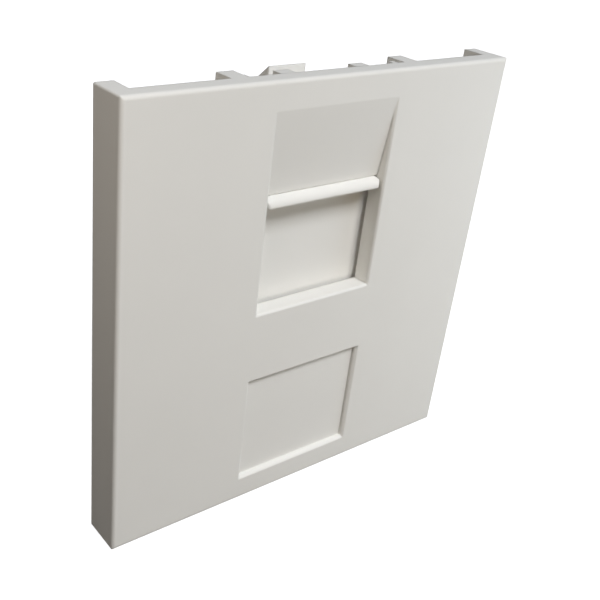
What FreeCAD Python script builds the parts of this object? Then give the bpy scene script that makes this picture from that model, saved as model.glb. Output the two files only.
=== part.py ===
"""Shuttered keystone faceplate: a square snap-in module, 50 mm each way, for one keystone jack.

Four kinds of piece: the moulded faceplate, the shutter that slides down behind it, two coil
springs that push the shutter shut, and the jack frame that snaps in behind and traps them.

Millimetres. +X is right, +Y goes back into the wall, +Z is up. The origin is the middle of
the seat plane, where the backs of the side walls bear on the carrier frame.
"""
import FreeCAD, Part
import math
import os

V = FreeCAD.Vector

# ---- faceplate -----------------------------------------------------------------------------
module_size = 50.0        # side of the square front
plate_thick = 2.1
seat_depth = 4.8          # front face to the backs of the side walls
side_wall = 2.0
edge_round = 0.4          # rounding of the four front edges
corner_round = 0.2        # of the four corner edges that run back from them

# ---- window, relief and label recess ---------------------------------------------------------
window_width = 16.0
port_height = 13.0        # the part of the window that goes right through
port_bottom_z = 0.0
relief_height = 9.0       # sloped finger relief above the port
relief_depth = 1.17       # its depth where it meets the port
label_width = 16.0
label_height = 13.1
label_depth = 0.6
label_margin = 3.2        # plate's lower edge to the recess
window_ease = 0.2         # slant that eases the window's front rim
label_ease = 0.3          # and the recess's

# ---- ribs behind the plate ---------------------------------------------------------------------
rib_spacing = 20.6        # between the inner faces of the two long ribs
rib_thick = 2.0
rib_depth = 4.6           # front face to the backs of the ribs, just short of the seat
rail_width = 0.8          # step along each rib: guides the shutter, carries the jack frame
rail_end_gap = 0.25       # from the plate's upper and lower edges
cheek_inner = 4.0         # short ribs that stiffen the plate beside each hook
cheek_thick = 1.9
cheek_depth = 4.0
cheek_length = 5.2
cheek_end_gap = 0.2

# ---- snap hooks, one above and one below -----------------------------------------------------
hook_width = 5.0
hook_arm_thick = 1.5
hook_top_gap = 1.13       # from the plate's edge to the tip of the catch
hook_catch = 1.25         # how far the catch stands above its arm
lip_space = 4.1           # carrier frame's lip, between seat and catch
hook_lead_angle = 41.0
hook_nose = 0.5           # blunt end of the hook
hook_root_r = 0.6

# ---- shutter -----------------------------------------------------------------------------------
shutter_thick = 1.0
panel_set_back = 0.35     # panel's face behind the runners that slide on the plate
runner_width = 0.6
slide_gap = 0.15          # running clearance all round the shutter
shutter_lap_up = 2.0      # panel above the port when shut
shutter_lap_down = 4.0    # panel below the port when shut
bar_height = 1.2
bar_radius = 1.08         # finger bar's curve, from its crest down to its upright lower edge
bar_toe_round = 0.18
bar_nose_depth = 0.24     # how far the nose stays behind the front face
bar_side_gap = 0.15
bar_top_gap = 0.02        # between the bar and the relief's edge, where it stops shut
bar_end_round = 0.5
bar_stop_gap = 0.12       # between the bar and the sill, where it stops open

# ---- springs and their pockets -----------------------------------------------------------------
spring_diameter = 2.6
spring_wire = 0.2
spring_coils = 9          # with the closed coil at each end
spring_close = 1.08       # pitch of the end coils, in wire thicknesses
runs_per_coil = 12
wire_sides = 6
spring_gap = 0.15         # round the outside of the coil
spring_spacing = 14.8     # between the two spring axes
lug_height = 1.6          # shutter's lug that bears on the spring
pocket_end_gap = 0.2      # pocket past the lug when shut
pocket_wall = 0.9
pocket_slot = 1.4         # slot in the pocket's back
pocket_slot_margin = 1.2
spigot_size = 1.2         # square, inside the coil
spigot_length = 1.5
seat_block = 1.4          # wall under the spring
spring_seat_z = -21.5

# ---- jack frame --------------------------------------------------------------------------------
frame_base_thick = 1.2
frame_side_gap = 0.1
frame_end_margin = 2.1    # from the plate's edges to the ends of the base
frame_notch_gap = 0.3     # round the cheeks and behind them
frame_corner_r = 0.8
jack_width = 14.9
jack_height = 16.5
jack_bottom_z = -0.75
jack_depth = 10.0         # front plane to back plane of the socket
socket_wall = 1.5
socket_corner_r = 0.8
fixed_step = 2.0          # room above the jack for its fixed lug
fixed_ledge = 6.5         # depth of the ledge in front of that room
latch_step = 4.0          # room below the jack for its sprung latch
latch_ledge = 4.0
catch_thick = 2.0         # catches at the back of the socket
catch_reach = 2.0
catch_land = 0.5
key_length = 2.8          # key on each rail that locates the frame
key_gap = 0.1
snap_length = 4.0         # four snaps on the ribs hold the frame in
snap_wall = 1.2
snap_reach = 0.45
snap_rise = 0.7
snap_gap = 0.1
snap_z = 15.0

# ---- worked out from the sizes above ------------------------------------------------------------
half = module_size / 2
window_half = window_width / 2
port_top_z = port_bottom_z + port_height
rib_inner = rib_spacing / 2
rail_inner = rib_inner - rail_width
slide_front = plate_thick + slide_gap
shutter_front = slide_front + panel_set_back
shutter_back = shutter_front + shutter_thick
frame_front = shutter_back + slide_gap
frame_back = frame_front + frame_base_thick
bar_axis_depth = bar_nose_depth + bar_radius
bar_top_z = port_top_z - bar_top_gap
bar_bottom_z = bar_top_z - bar_height
shutter_travel = bar_bottom_z - port_bottom_z - bar_stop_gap
shutter_half = rail_inner - slide_gap
shutter_bottom_z = port_bottom_z - shutter_lap_down
lug_bottom_z = shutter_bottom_z - lug_height
spring_x = spring_spacing / 2
spring_depth = plate_thick + spring_gap + spring_diameter / 2
pocket_half = spring_diameter / 2 + spring_gap
pocket_back = spring_depth + pocket_half
hook_tip_z = half - hook_top_gap
hook_arm_top = hook_tip_z - hook_catch
catch_depth = seat_depth + lip_space
socket_back = frame_front + jack_depth


# ---- helpers: depth is measured from the front face ---------------------------------------------
def at(x, depth, z):
    return V(x, depth - seat_depth, z)


def block(x0, x1, depth0, depth1, z0, z1):
    return Part.makeBox(x1 - x0, depth1 - depth0, z1 - z0, at(x0, depth0, z0))


def sideways_prism(outline, x0, x1):
    """Extrudes an outline of (depth, z) corners along X."""
    corners = [at(x0, depth, z) for depth, z in outline]
    face = Part.Face(Part.makePolygon(corners + corners[:1]))
    return face.extrude(V(x1 - x0, 0, 0))


def upright_prism(outline, z0, z1):
    """Extrudes an outline of (x, depth) corners along Z."""
    corners = [at(x, depth, z0) for x, depth in outline]
    face = Part.Face(Part.makePolygon(corners + corners[:1]))
    return face.extrude(V(0, 0, z1 - z0))


def upright_bar(x, depth, z0, z1, size):
    return block(x - size / 2, x + size / 2, depth - size / 2, depth + size / 2, z0, z1)


def left_and_right(shape):
    """The shape and its mirror image across the middle."""
    return [shape, shape.mirror(V(0, 0, 0), V(1, 0, 0))]


def top_and_bottom(shape):
    return [shape, shape.mirror(V(0, 0, 0), V(0, 0, 1))]


def rounded(shape, radius, axis, depth=None):
    """Rounds the edges that run along an axis, or only those of them at one depth."""
    edges = []
    for edge in shape.Edges:
        a, b = [vertex.Point for vertex in edge.Vertexes]
        along = abs(getattr(a, axis) - getattr(b, axis)) > 1e-6
        here = depth is None or abs(a.y - at(0, depth, 0).y) < 1e-6
        if along and here:
            edges.append(edge)
    return shape.makeFillet(radius, edges)


def rounded_along_depth(shape, radius, corners):
    """Rounds the edges that run front to back through the given (x, z) corners."""
    edges = []
    for edge in shape.Edges:
        a, b = edge.Vertexes[0].Point, edge.Vertexes[-1].Point
        straight = abs(a.x - b.x) < 1e-6 and abs(a.z - b.z) < 1e-6
        if straight and any(abs(a.x - x) + abs(a.z - z) < 1e-4 for x, z in corners):
            edges.append(edge)
    return shape.makeFillet(radius, edges)


# ---- faceplate -----------------------------------------------------------------------------------
def plate_shell():
    """The square front with its two side walls, rounded on the outside."""
    full = block(-half, half, 0, seat_depth, -half, half)
    shell = rounded(full, corner_round, "y")
    shell = shell.common(rounded(full, edge_round, "x", 0))
    shell = shell.common(rounded(full, edge_round, "z", 0))
    inner = half - side_wall
    return shell.cut(block(-inner, inner, plate_thick, seat_depth + 1, -half - 1, half + 1))


def eased_rim(half_width, bottom, top, ease, top_ease):
    """The tapering slice that eases the front rim of an opening."""
    loops = []
    for depth, out, up in ((0, ease, top_ease), (ease, 0, 0)):
        x, low, high = half_width + out, bottom - out, top + up
        corners = [at(-x, depth, low), at(x, depth, low), at(x, depth, high), at(-x, depth, high)]
        loops.append(Part.makePolygon(corners + corners[:1]))
    return Part.makeLoft(loops, True, True)


def window_cut():
    """The port right through, and the relief that slopes down to it from the front face."""
    past = 1.0
    port = block(-window_half, window_half, -past, plate_thick + past, port_bottom_z, port_top_z)
    relief_top = port_top_z + relief_height
    slope = relief_depth / relief_height
    crest = [(relief_depth, port_top_z), (-past * slope, relief_top + past),
             (-past, relief_top + past)]
    relief = sideways_prism(crest + [(-past, port_top_z)], -window_half, window_half)
    foot = port_bottom_z - past
    before_slope = sideways_prism(crest + [(-past, foot), (relief_depth, foot)], -half, half)
    rim = eased_rim(window_half, port_bottom_z, relief_top, window_ease, 0).common(before_slope)
    return port.fuse([relief, rim])


def label_cut():
    bottom = -half + label_margin
    top = bottom + label_height
    recess = block(-label_width / 2, label_width / 2, -1, label_depth, bottom, top)
    return recess.fuse(eased_rim(label_width / 2, bottom, top, label_ease, label_ease))


def rib_with_rail():
    """The right-hand long rib, with the step that guides the shutter and carries the frame."""
    rib = block(rib_inner, rib_inner + rib_thick, plate_thick, rib_depth, -half, half)
    rail_end = half - rail_end_gap
    rail = block(rail_inner, rib_inner, plate_thick, frame_front, -rail_end, rail_end)
    key = block(rail_inner + key_gap, rib_inner, frame_front, rib_depth,
                -key_length / 2, key_length / 2)
    return [rib, rail, key]


def snap(z):
    """A wedge on the right-hand rib that holds the edge of the jack frame."""
    nib = frame_back + snap_gap
    top = nib + snap_rise
    outline = [
        (rib_inner + snap_wall, plate_thick), (rib_inner + snap_wall, top),
        (rib_inner, top), (rib_inner - snap_reach, nib), (rib_inner, nib),
        (rib_inner, plate_thick),
    ]
    return upright_prism(outline, z - snap_length / 2, z + snap_length / 2)


def hook():
    """The upper hook: a springy arm with a catch that grips the carrier frame's lip."""
    arm_bottom = hook_arm_top - hook_arm_thick
    nose_z = arm_bottom + hook_nose
    nose_depth = catch_depth + (hook_tip_z - nose_z) / math.tan(math.radians(hook_lead_angle))
    r = hook_root_r
    x0 = -hook_width / 2
    bulge = r * (1 - math.sqrt(0.5))

    def line(a, b):
        return Part.makeLine(at(x0, *a), at(x0, *b))

    def root_arc(a, b, c):
        return Part.Arc(at(x0, *a), at(x0, *b), at(x0, *c)).toShape()

    root = plate_thick
    upper = [(root, hook_arm_top + r), (root + bulge, hook_arm_top + bulge),
             (root + r, hook_arm_top)]
    lower = [(root + r, arm_bottom), (root + bulge, arm_bottom - bulge), (root, arm_bottom - r)]
    ahead = root - plate_thick / 4
    path = [upper[2], (catch_depth, hook_arm_top), (catch_depth, hook_tip_z),
            (nose_depth, nose_z), (nose_depth, arm_bottom), lower[0]]
    edges = [root_arc(*upper)]
    edges += [line(a, b) for a, b in zip(path, path[1:])]
    edges.append(root_arc(*lower))
    back = [lower[2], (ahead, arm_bottom - r), (ahead, hook_arm_top + r), upper[0]]
    edges += [line(a, b) for a, b in zip(back, back[1:])]
    return Part.Face(Part.Wire(edges)).extrude(V(hook_width, 0, 0))


def cheek():
    """The short rib on the right of the upper hook."""
    top = half - cheek_end_gap
    return block(cheek_inner, cheek_inner + cheek_thick, plate_thick, cheek_depth,
                 top - cheek_length, top)


def make_faceplate():
    body = plate_shell()
    added = []
    for piece in rib_with_rail() + [snap(snap_z), snap(-snap_z)]:
        added += left_and_right(piece)
    added += top_and_bottom(hook())
    for piece in left_and_right(cheek()):
        added += top_and_bottom(piece)
    body = body.fuse(added)
    body = body.cut([window_cut(), label_cut()])
    return body.removeSplitter()


# ---- shutter ---------------------------------------------------------------------------------------
def finger_bar():
    """The bar across the window: quarter-round above, tight at its lower edge, round at its ends."""
    x = window_half - bar_side_gap
    web_back = shutter_front + shutter_thick / 2
    axis = at(-x, bar_axis_depth, bar_top_z - bar_radius)
    curve = Part.makeCylinder(bar_radius, 2 * x, axis, V(1, 0, 0))
    behind = block(-x, x, bar_axis_depth, web_back, bar_bottom_z, bar_top_z)
    full = block(-x, x, bar_nose_depth, web_back, bar_bottom_z, bar_top_z)
    bar = curve.fuse(behind).common(rounded(full, bar_toe_round, "x", bar_nose_depth))
    bar = bar.common(rounded(full, bar_end_round, "y"))
    return bar.common(rounded(full, bar_end_round, "z", bar_nose_depth)).removeSplitter()


def spring_lug():
    """The right-hand lug under the panel, with the spigot that centres the spring."""
    width = pocket_half - spring_gap / 2
    lug = block(spring_x - width, spring_x + width, slide_front, pocket_back - spring_gap,
                lug_bottom_z, shutter_bottom_z)
    spigot = upright_bar(spring_x, spring_depth, lug_bottom_z - spigot_length, lug_bottom_z,
                         spigot_size)
    return lug.fuse(spigot)


def make_shutter():
    panel_top_z = port_top_z + shutter_lap_up
    panel = block(-shutter_half, shutter_half, shutter_front, shutter_back,
                  shutter_bottom_z, panel_top_z)
    runner = block(shutter_half - runner_width, shutter_half, slide_front, shutter_back,
                   shutter_bottom_z, panel_top_z)
    added = [finger_bar()] + left_and_right(runner) + left_and_right(spring_lug())
    return panel.fuse(added).removeSplitter()


# ---- springs ---------------------------------------------------------------------------------------
def spring_rise(turn, height):
    """Height of the wire's middle after so many turns: closed end coils, open ones between."""
    closed = spring_wire * spring_close
    if turn <= 1:
        return closed * turn
    if turn >= spring_coils - 1:
        return height - closed * (spring_coils - turn)
    return closed + (height - 2 * closed) * (turn - 1) / (spring_coils - 2)


def make_spring(x):
    """A compression spring from the frame's seat to the shutter's lug, in short straight runs."""
    radius = (spring_diameter - spring_wire) / 2
    flat = spring_wire / 2 * math.cos(math.pi / wire_sides)
    low = spring_seat_z + flat
    high = lug_bottom_z - flat
    runs = spring_coils * runs_per_coil
    corner = 2 * math.pi / wire_sides
    rings = []
    for run in range(runs + 1):
        turn = run / runs_per_coil
        around = 2 * math.pi * turn
        out = V(math.cos(around), math.sin(around), 0)
        middle = at(x, spring_depth, low + spring_rise(turn, high - low)) + out * radius
        rise = spring_rise(turn + 0.5 / runs_per_coil, high - low)
        rise -= spring_rise(turn - 0.5 / runs_per_coil, high - low)
        along = V(-out.y, out.x, 0) * (2 * math.pi * radius / runs_per_coil) + V(0, 0, rise)
        over = along.normalize().cross(out)
        ring = [middle + (out * math.cos(side * corner) + over * math.sin(side * corner))
                * (spring_wire / 2) for side in range(wire_sides)]
        rings.append(Part.makePolygon(ring + ring[:1]))
    return Part.makeLoft(rings, True, True)


# ---- jack frame ------------------------------------------------------------------------------------
def frame_base():
    """The flat base between the long ribs, notched round the hooks, cheeks and keys."""
    wide = rib_inner - frame_side_gap
    tall = half - frame_end_margin
    base = block(-wide, wide, frame_front, frame_back, -tall, tall)
    notch = cheek_inner + cheek_thick + frame_notch_gap
    notch_from = half - cheek_end_gap - cheek_length - frame_notch_gap
    cuts = top_and_bottom(block(-notch, notch, frame_front - 1, frame_back + 1,
                                notch_from, half))
    key_half = key_length / 2 + key_gap
    cuts += left_and_right(block(rail_inner, rib_inner, frame_front - 1, frame_back + 1,
                                 -key_half, key_half))
    base = base.cut(cuts)
    corners = [(x, z) for x in (-wide, wide, -notch, notch) for z in (-tall, tall)]
    return rounded_along_depth(base, frame_corner_r, corners)


def socket_walls():
    """The outside of the jack socket, standing on the base."""
    wide = jack_width / 2 + socket_wall
    low = jack_bottom_z - latch_step - socket_wall
    high = jack_bottom_z + jack_height + fixed_step + socket_wall
    walls = block(-wide, wide, frame_front, socket_back, low, high)
    corners = [(x, z) for x in (-wide, wide) for z in (low, high)]
    return rounded_along_depth(walls, socket_corner_r, corners)


def socket_cut():
    """The room that a keystone jack takes, between the two catches at the back."""
    x0, x1 = -jack_width / 2, jack_width / 2
    low, high = jack_bottom_z, jack_bottom_z + jack_height
    catch_from = socket_back - catch_thick
    past = socket_back + 1
    opening = block(x0, x1, frame_front - 1, past, low, high)
    latch_low = low - latch_step
    latch = sideways_prism(
        [(frame_front + latch_ledge, latch_low), (catch_from, latch_low),
         (catch_from, latch_low + catch_reach),
         (catch_from + catch_land, latch_low + catch_reach), (socket_back, latch_low),
         (past, latch_low), (past, low), (frame_front + latch_ledge, low)], x0, x1)
    lug_high = high + fixed_step
    lug = sideways_prism(
        [(frame_front + fixed_ledge, lug_high), (catch_from, lug_high),
         (catch_from, lug_high - catch_reach + catch_land / 2),
         (catch_from + catch_land, lug_high - catch_reach + catch_land / 2),
         (socket_back, lug_high), (past, lug_high), (past, high),
         (frame_front + fixed_ledge, high)], x0, x1)
    return opening.fuse([latch, lug])


def spring_pocket():
    """The right-hand pocket behind the base: its outside, its room and the seat in it."""
    outer = pocket_half + pocket_wall
    bottom = spring_seat_z - seat_block
    top = jack_bottom_z - latch_step
    trough = block(spring_x - outer, spring_x + outer, frame_front, pocket_back + pocket_wall,
                   bottom, top)
    room = block(spring_x - pocket_half, spring_x + pocket_half, frame_front - 1, pocket_back,
                 spring_seat_z, shutter_bottom_z + pocket_end_gap)
    slot = block(spring_x - pocket_slot / 2, spring_x + pocket_slot / 2, pocket_back,
                 pocket_back + pocket_wall + 1, spring_seat_z + pocket_slot_margin,
                 top - socket_wall - pocket_slot_margin)
    seat = block(spring_x - pocket_half + slide_gap, spring_x + pocket_half - slide_gap,
                 slide_front, frame_back, bottom, spring_seat_z)
    spigot = upright_bar(spring_x, spring_depth, spring_seat_z,
                         spring_seat_z + spigot_length, spigot_size)
    return trough, [room, slot], [seat, spigot]


def make_jack_frame():
    trough, rooms, seats = spring_pocket()
    body = frame_base().fuse([socket_walls()] + left_and_right(trough))
    notch = cheek_inner + cheek_thick + frame_notch_gap
    behind_cheeks = block(-notch, notch, frame_front - 1, cheek_depth + frame_notch_gap,
                          half - cheek_end_gap - cheek_length - frame_notch_gap, half)
    cuts = [socket_cut()] + top_and_bottom(behind_cheeks)
    for room in rooms:
        cuts += left_and_right(room)
    body = body.cut(cuts)
    added = []
    for seat in seats:
        added += left_and_right(seat)
    return body.fuse(added).removeSplitter()


# ---- one STEP file per piece -------------------------------------------------------------------
pieces = {
    "faceplate": make_faceplate(),
    "shutter": make_shutter(),
    "spring_left": make_spring(-spring_x),
    "spring_right": make_spring(spring_x),
    "jack_frame": make_jack_frame(),
}

os.makedirs("parts", exist_ok=True)
for name, shape in pieces.items():
    solid = shape.Solids[0] if len(shape.Solids) == 1 else shape
    solid.exportStep(os.path.join("parts", name + ".step"))
    print(name, "solids", len(shape.Solids), "valid", shape.isValid(),
          "volume %.1f" % shape.Volume)
print("shutter travel %.2f mm" % shutter_travel)
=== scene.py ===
"""Shuttered keystone faceplate: the finishes of its mouldings, its springs, and a studio stage.

Metres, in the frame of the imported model: +X right, +Y back into the wall, +Z up.
"""
import math

import bmesh
import bpy
from bpy.props import FloatProperty, FloatVectorProperty, IntProperty, PointerProperty
from mathutils import Matrix, Vector


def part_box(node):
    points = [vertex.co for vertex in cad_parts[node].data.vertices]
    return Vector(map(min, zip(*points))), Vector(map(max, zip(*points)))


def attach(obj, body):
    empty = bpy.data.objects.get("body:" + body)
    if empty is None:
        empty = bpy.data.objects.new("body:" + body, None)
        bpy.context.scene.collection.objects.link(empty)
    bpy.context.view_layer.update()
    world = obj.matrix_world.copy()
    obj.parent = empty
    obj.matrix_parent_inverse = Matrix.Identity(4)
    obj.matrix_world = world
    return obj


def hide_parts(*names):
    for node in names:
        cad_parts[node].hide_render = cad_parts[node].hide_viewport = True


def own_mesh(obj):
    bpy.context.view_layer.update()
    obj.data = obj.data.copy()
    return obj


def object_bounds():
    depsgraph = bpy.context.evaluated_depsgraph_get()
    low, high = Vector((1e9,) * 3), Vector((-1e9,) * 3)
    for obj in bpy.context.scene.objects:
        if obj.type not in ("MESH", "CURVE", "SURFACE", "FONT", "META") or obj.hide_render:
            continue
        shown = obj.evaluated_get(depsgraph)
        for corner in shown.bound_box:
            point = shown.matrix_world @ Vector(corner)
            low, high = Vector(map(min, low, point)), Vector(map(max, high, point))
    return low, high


bl_info = {
    "name": "Shuttered keystone faceplate",
    "version": (1, 0, 0),
    "blender": (4, 5, 0),
    "location": "View3D > Sidebar > Faceplate",
    "description": "Finishes a snap-in keystone faceplate and sets it on a studio stage",
    "category": "Object",
}

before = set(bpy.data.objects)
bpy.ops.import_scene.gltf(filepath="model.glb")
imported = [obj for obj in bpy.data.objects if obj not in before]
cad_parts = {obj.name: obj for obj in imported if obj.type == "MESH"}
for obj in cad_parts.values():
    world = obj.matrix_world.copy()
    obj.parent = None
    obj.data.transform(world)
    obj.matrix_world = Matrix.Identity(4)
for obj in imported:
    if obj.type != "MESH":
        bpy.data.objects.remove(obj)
CAD_LOW, CAD_HIGH = [list(corner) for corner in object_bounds()]
MM = 0.001


def linear(code):
    """An sRGB hex colour as linear red, green and blue."""
    channels = [int(code[i:i + 2], 16) / 255 for i in (1, 3, 5)]
    return tuple(c / 12.92 if c <= 0.04045 else ((c + 0.055) / 1.055) ** 2.4 for c in channels)


# ---- settings -------------------------------------------------------------------------------
class MouldingFinish(bpy.types.PropertyGroup):
    """Finish of the white mouldings."""
    colour: FloatVectorProperty(
        name="Plastic colour", description="Body colour of the mouldings", subtype="COLOR",
        size=3, min=0, max=1, default=linear("#EFEDE8"))
    cloud_colour: FloatVectorProperty(
        name="Flow mark colour", description="Colour of the faint clouds left by the melt's flow",
        subtype="COLOR", size=3, min=0, max=1, default=linear("#EBE9E4"))
    cloud_size: FloatProperty(
        name="Flow mark size", description="Width of one faint cloud", unit="LENGTH",
        default=9 * MM)
    grain_size: FloatProperty(
        name="Grain size", description="Width of one pit of the spark-eroded mould texture",
        unit="LENGTH", default=0.22 * MM)
    grain_depth: FloatProperty(
        name="Grain depth", description="Depth of that texture", unit="LENGTH",
        default=0.006 * MM)
    edge_round: FloatProperty(
        name="Edge rounding", description="Radius at which the mould leaves its edges",
        unit="LENGTH", default=0.3 * MM)


class SpringSizes(bpy.types.PropertyGroup):
    """Sizes of the two return springs."""
    wire: FloatProperty(
        name="Wire", description="Diameter of the spring wire", unit="LENGTH", default=0.2 * MM)
    outside: FloatProperty(
        name="Outside diameter", description="Diameter over the coils", unit="LENGTH",
        default=2.6 * MM)
    coils: IntProperty(
        name="Coils", description="Number of coils with the closed one at each end", default=9)
    closed_pitch: FloatProperty(
        name="Closed pitch", description="Rise of a closed end coil", unit="LENGTH",
        default=0.216 * MM)
    steel: FloatVectorProperty(
        name="Steel colour", description="Colour of the spring wire", subtype="COLOR",
        size=3, min=0, max=1, default=linear("#B9B7B2"))


class StageSettings(bpy.types.PropertyGroup):
    """Floor, lamps and camera."""
    floor: FloatVectorProperty(
        name="Floor colour", description="Paint of the floor, as the light on the object meets it",
        subtype="COLOR", size=3, min=0, max=1, default=linear("#453F38"))
    floor_glow: FloatProperty(
        name="Floor glow", description="Brightness of the sweep by the object, in its shadow",
        min=0, max=1, default=0.92)
    lens: FloatProperty(
        name="Lens", description="Focal length of the camera", subtype="DISTANCE_CAMERA",
        default=52.575)
    shift: FloatProperty(name="Shift", description="Sideways shift of the camera", default=0.1)


# ---- helpers --------------------------------------------------------------------------------
def add(tree, kind, settings=None, **inputs):
    """Adds a node, sets its properties, and sets or links its inputs."""
    node = tree.nodes.new(kind)
    for name, value in (settings or {}).items():
        setattr(node, name, value)
    for name, value in inputs.items():
        socket = node.inputs[int(name[1:])] if name[1:].isdigit() else node.inputs[
            name.replace("_", " ")]
        if isinstance(value, bpy.types.NodeSocket):
            tree.links.new(value, socket)
        else:
            socket.default_value = value
    return node


def new_material(name):
    """An empty node material with its tree and output node."""
    material = bpy.data.materials.new(name)
    material.use_nodes = True
    tree = material.node_tree
    tree.nodes.clear()
    return material, tree, add(tree, "ShaderNodeOutputMaterial")


def seen_ways(tree):
    """A socket that is 1 for camera, glossy and transmission rays, and 0 for all others."""
    path = add(tree, "ShaderNodeLightPath")
    seen = path.outputs["Is Camera Ray"]
    for way in ("Is Glossy Ray", "Is Transmission Ray"):
        seen = add(tree, "ShaderNodeMath", {"operation": "MAXIMUM"},
                   _0=seen, _1=path.outputs[way]).outputs[0]
    return seen


def dress(piece, material):
    """Gives the whole piece one material."""
    piece.data.materials.clear()
    piece.data.materials.append(material)


# ---- materials ------------------------------------------------------------------------------
PLASTIC_ROUGHNESS = (0.52, 0.66)  # in the pits of the grain and on its tops
STEEL_ROUGHNESS = (0.22, 0.4)
STREAK_WIDTH = 0.3 * MM           # of the marks that the die leaves on the wire
GLOW_NEAR = 60 * MM               # round the object the sweep is toned down by the floor glow,
GLOW_FAR = 180 * MM               # and from here on it is plain white
SHADOW_PAINT = (0.5, 0.5, 0.5, 1)  # takes the object's shadow on the sweep


def moulded_abs(settings):
    """ABS, injection moulded in a finely spark-eroded tool.

    That leaves a matt white face with a fine grain, faint clouds and softly broken edges.
    """
    material, tree, output = new_material("moulded_white_abs")
    place = add(tree, "ShaderNodeTexCoord").outputs["Object"]
    cloud = add(tree, "ShaderNodeTexNoise", None, Vector=place,
                Scale=1 / settings.cloud_size, Detail=2.0, Roughness=0.5)
    grain = add(tree, "ShaderNodeTexNoise", None, Vector=place,
                Scale=1 / settings.grain_size, Detail=3.0, Roughness=0.55)
    colour = add(tree, "ShaderNodeMix", {"data_type": "RGBA"},
                 _0=cloud.outputs["Fac"], _6=(*settings.colour, 1),
                 _7=(*settings.cloud_colour, 1))
    rough = add(tree, "ShaderNodeMapRange", None, Value=grain.outputs["Fac"],
                To_Min=PLASTIC_ROUGHNESS[0], To_Max=PLASTIC_ROUGHNESS[1])
    edge = add(tree, "ShaderNodeBevel", {"samples": 6}, Radius=settings.edge_round)
    bump = add(tree, "ShaderNodeBump", None, Strength=1.0, Distance=settings.grain_depth,
               Height=grain.outputs["Fac"], Normal=edge.outputs["Normal"])
    shader = add(tree, "ShaderNodeBsdfPrincipled", None, Base_Color=colour.outputs[2],
                 Roughness=rough.outputs["Result"], IOR=1.5, Specular_IOR_Level=0.25,
                 Normal=bump.outputs["Normal"])
    tree.links.new(shader.outputs["BSDF"], output.inputs["Surface"])
    return material


def spring_wire(settings):
    """Drawn stainless spring wire, with the faint lengthwise streaks of the die."""
    material, tree, output = new_material("drawn_spring_steel")
    place = add(tree, "ShaderNodeTexCoord").outputs["Object"]
    streak = add(tree, "ShaderNodeTexNoise", None, Vector=place,
                 Scale=1 / STREAK_WIDTH, Detail=2.0)
    rough = add(tree, "ShaderNodeMapRange", None, Value=streak.outputs["Fac"],
                To_Min=STEEL_ROUGHNESS[0], To_Max=STEEL_ROUGHNESS[1])
    shader = add(tree, "ShaderNodeBsdfPrincipled", None, Base_Color=(*settings.steel, 1),
                 Metallic=1.0, Roughness=rough.outputs["Result"])
    tree.links.new(shader.outputs["BSDF"], output.inputs["Surface"])
    return material


def stage_white(settings):
    """Studio sweep: white where it is seen, and dark paint to the light that it throws back."""
    material, tree, output = new_material("studio_sweep")
    paint = add(tree, "ShaderNodeBsdfDiffuse", None, Color=(*settings.floor, 1))
    place = add(tree, "ShaderNodeTexCoord").outputs["Object"]
    away = add(tree, "ShaderNodeVectorMath", {"operation": "LENGTH"}, _0=place)
    glow = add(tree, "ShaderNodeMapRange", None, Value=away.outputs["Value"], From_Min=GLOW_NEAR,
               From_Max=GLOW_FAR, To_Min=settings.floor_glow, To_Max=1.0)
    white = add(tree, "ShaderNodeEmission", None, Color=(1, 1, 1, 1),
                Strength=glow.outputs["Result"])
    shaded = add(tree, "ShaderNodeBsdfDiffuse", None, Color=SHADOW_PAINT)
    sweep = add(tree, "ShaderNodeAddShader", None, _0=white.outputs[0], _1=shaded.outputs[0])
    mix = add(tree, "ShaderNodeMixShader", None, _0=seen_ways(tree), _1=paint.outputs[0],
              _2=sweep.outputs[0])
    tree.links.new(mix.outputs[0], output.inputs["Surface"])
    return material


# ---- pieces ---------------------------------------------------------------------------------
class KEYSTONE_OT_mouldings(bpy.types.Operator):
    """Finish the faceplate, the shutter and the jack frame as white mouldings"""
    bl_idname = "keystone.mouldings"
    bl_label = "Mouldings"

    def execute(self, context):
        plastic = moulded_abs(context.scene.moulding_finish)
        for node in ("faceplate", "shutter", "jack_frame"):
            dress(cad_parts[node], plastic)
        return {"FINISHED"}


SECTION_SIDES = 10   # of the wire's round section
STEPS_PER_TURN = 28


def wind_spring(sizes, side):
    """Winds one spring by turning the wire's section about the spring's axis."""
    low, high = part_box("spring_" + side)
    radius = (sizes.outside - sizes.wire) / 2
    middle = (low + high) / 2
    shape = bmesh.new()
    rise = high.z - low.z - sizes.wire
    open_turns = sizes.coils - 2
    section = bmesh.ops.create_circle(
        shape, cap_ends=True, segments=SECTION_SIDES, radius=sizes.wire / 2,
        matrix=Matrix.Translation((radius, 0, 0)) @ Matrix.Rotation(math.pi / 2, 4, "X"))
    ring = list(shape.faces) + list(shape.edges) + section["verts"]
    for turns, climb in ((1, sizes.closed_pitch), (open_turns, rise - 2 * sizes.closed_pitch),
                         (1, sizes.closed_pitch)):
        steps = STEPS_PER_TURN * turns
        spun = bmesh.ops.spin(shape, geom=ring, cent=(0, 0, 0), axis=(0, 0, 1),
                              dvec=(0, 0, climb / steps), angle=2 * math.pi * turns,
                              steps=steps, use_merge=False, use_duplicate=False)
        ring = spun["geom_last"]
    bmesh.ops.remove_doubles(shape, verts=shape.verts, dist=0.001 * MM)
    bmesh.ops.recalc_face_normals(shape, faces=shape.faces)
    bmesh.ops.translate(shape, verts=shape.verts,
                        vec=(middle.x, middle.y, low.z + sizes.wire / 2))
    mesh = bpy.data.meshes.new("spring_" + side + "_wire")
    shape.to_mesh(mesh)
    shape.free()
    mesh.shade_smooth()
    piece = bpy.data.objects.new("spring_" + side + "_wire", mesh)
    bpy.context.scene.collection.objects.link(piece)
    return piece, low


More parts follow.
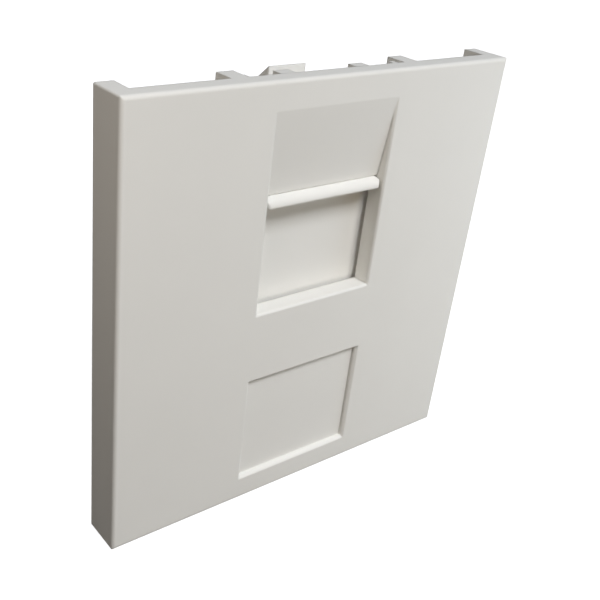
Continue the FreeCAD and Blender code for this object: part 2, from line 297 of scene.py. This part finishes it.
class KEYSTONE_OT_springs(bpy.types.Operator):
    """Wind the two return springs from round wire"""
    bl_idname = "keystone.springs"
    bl_label = "Return springs"

    def execute(self, context):
        sizes = context.scene.spring_sizes
        steel = spring_wire(sizes)
        for side in ("left", "right"):
            piece, low = wind_spring(sizes, side)
            dress(piece, steel)
            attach(piece, "plate")
            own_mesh(piece)
            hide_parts("spring_" + side)
        return {"FINISHED"}


# ---- stage ----------------------------------------------------------------------------------
LAMPS = (
    # name, azimuth from the front towards the right, elevation, distance, size, RGB watts
    ("key", 8, 52, 0.60, 0.20, (2.49, 2.57, 2.68)),
    ("low", 15, -3, 0.15, 0.08, (0.040, 0.034, 0.025)),
    ("right", 60, 2, 0.10, 0.06, (0.0200, 0.0222, 0.0242)),
    ("left", -70, 30, 0.10, 0.05, (0.0165, 0.0152, 0.0137)),
    ("back", 180, 0, 0.50, 0.05, (0.60, 0.60, 0.60)),
    ("back_right", 150, 0, 0.50, 0.04, (1.00, 1.00, 1.00)),
)
FLOOR_REACH = 3.0    # from the middle to each side
CAMERA_PLACE = (-60.35 * MM, -67.48 * MM, 44.63 * MM)
CAMERA_AHEAD = (0.5506, 0.6926, -0.4660)
CAMERA_UPWARD = (0.2160, 0.4210, 0.8810)


class KEYSTONE_OT_stage(bpy.types.Operator):
    """Lay the floor, hang the lamps and set the camera"""
    bl_idname = "keystone.stage"
    bl_label = "Stage"

    def execute(self, context):
        settings = context.scene.stage_settings
        self.floor(settings)
        self.lamps()
        self.surroundings(context)
        self.camera(context, settings)
        return {"FINISHED"}

    def floor(self, settings):
        shape = bmesh.new()
        bmesh.ops.create_grid(shape, x_segments=1, y_segments=1, size=FLOOR_REACH,
                              matrix=Matrix.Translation((0, 0, CAD_LOW[2])))
        mesh = bpy.data.meshes.new("floor")
        shape.to_mesh(mesh)
        shape.free()
        floor = bpy.data.objects.new("floor", mesh)
        bpy.context.scene.collection.objects.link(floor)
        dress(floor, stage_white(settings))

    def lamps(self):
        for name, azimuth, elevation, distance, size, watts in LAMPS:
            light = bpy.data.lights.new(name, "AREA")
            light.size = size
            light.energy = max(watts)
            light.color = [channel / max(watts) for channel in watts]
            a, e = math.radians(azimuth), math.radians(elevation)
            way = Vector((math.sin(a) * math.cos(e), -math.cos(a) * math.cos(e), math.sin(e)))
            lamp = bpy.data.objects.new(name, light)
            lamp.location = way * distance
            lamp.rotation_euler = way.to_track_quat("Z", "Y").to_euler()
            bpy.context.scene.collection.objects.link(lamp)

    def surroundings(self, context):
        world = bpy.data.worlds.new("studio")
        context.scene.world = world
        world.use_nodes = True
        tree = world.node_tree
        tree.nodes.clear()
        room = add(tree, "ShaderNodeBackground", None, Color=(0, 0, 0, 1))
        white = add(tree, "ShaderNodeBackground", None, Color=(1, 1, 1, 1), Strength=1.0)
        mix = add(tree, "ShaderNodeMixShader", None, _0=seen_ways(tree), _1=room.outputs[0],
                  _2=white.outputs[0])
        output = add(tree, "ShaderNodeOutputWorld")
        tree.links.new(mix.outputs[0], output.inputs["Surface"])

    def camera(self, context, settings):
        data = bpy.data.cameras.new("camera")
        data.sensor_width = 36
        data.lens = settings.lens
        data.shift_x = settings.shift
        data.clip_start = 0.005
        camera = bpy.data.objects.new("camera", data)
        context.scene.collection.objects.link(camera)
        ahead = Vector(CAMERA_AHEAD).normalized()
        right = ahead.cross(Vector(CAMERA_UPWARD)).normalized()
        up = right.cross(ahead)
        turn = Matrix((right, up, -ahead)).transposed()
        camera.matrix_world = Matrix.Translation(CAMERA_PLACE) @ turn.to_4x4()
        context.scene.camera = camera
        context.scene.view_settings.view_transform = "Standard"


class KEYSTONE_PT_panel(bpy.types.Panel):
    """The faceplate's pieces and their settings"""
    bl_idname = "KEYSTONE_PT_panel"
    bl_label = "Keystone faceplate"
    bl_space_type = "VIEW_3D"
    bl_region_type = "UI"
    bl_category = "Faceplate"

    def draw(self, context):
        for operator, group in PIECES:
            settings = getattr(context.scene, group)
            for name in settings.__annotations__:
                self.layout.prop(settings, name)
            self.layout.operator(operator)


PIECES = (
    ("keystone.mouldings", "moulding_finish"),
    ("keystone.springs", "spring_sizes"),
    ("keystone.stage", "stage_settings"),
)
CLASSES = (MouldingFinish, SpringSizes, StageSettings, KEYSTONE_OT_mouldings,
           KEYSTONE_OT_springs, KEYSTONE_OT_stage, KEYSTONE_PT_panel)
GROUPS = {"moulding_finish": MouldingFinish, "spring_sizes": SpringSizes,
          "stage_settings": StageSettings}


def register():
    for cls in CLASSES:
        bpy.utils.register_class(cls)
    for name, group in GROUPS.items():
        setattr(bpy.types.Scene, name, PointerProperty(type=group))


def unregister():
    for name in GROUPS:
        delattr(bpy.types.Scene, name)
    for cls in reversed(CLASSES):
        bpy.utils.unregister_class(cls)


def main():
    register()
    for operator, _ in PIECES:
        area, name = operator.split(".")
        getattr(getattr(bpy.ops, area), name)()


if __name__ == "__main__":
    main()
